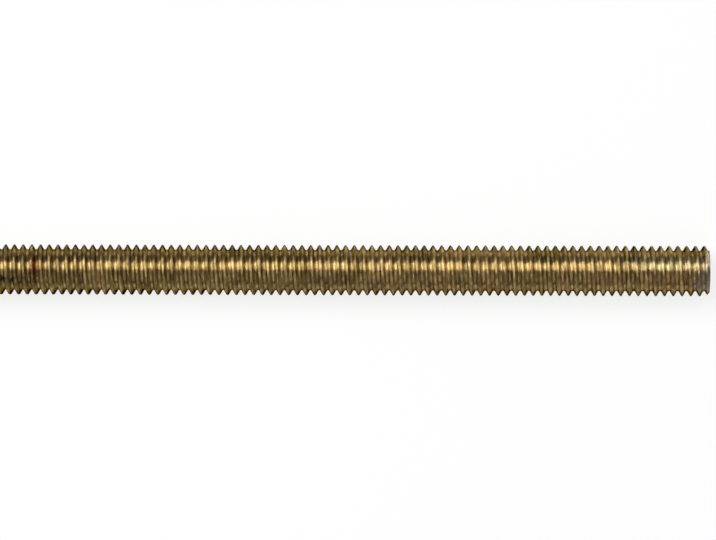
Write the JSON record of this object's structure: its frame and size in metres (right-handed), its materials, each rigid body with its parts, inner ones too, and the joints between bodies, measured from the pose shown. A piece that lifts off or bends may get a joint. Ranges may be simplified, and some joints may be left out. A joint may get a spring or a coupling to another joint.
{
  "type": "threaded rod",
  "caption": "Straight steel rod with a right-hand 60 degree coarse thread along its whole length, chamfered at both ends and yellow zinc plated.",
  "frame": {"origin": "on the rod's axis, half way between its two end faces", "axes": "+X along the rod's axis; the rod is the same end for end, and Y and Z are any two directions across it"},
  "size_m": [0.3048, 0.0092, 0.0092],
  "materials": {
    "yellow_zinc": "yellow chromate over zinc plate: olive gold, with faint pink, green and purple tints"
  },
  "bodies": {
    "root": {"rod": "yellow_zinc"}
  },
  "joints": []
}
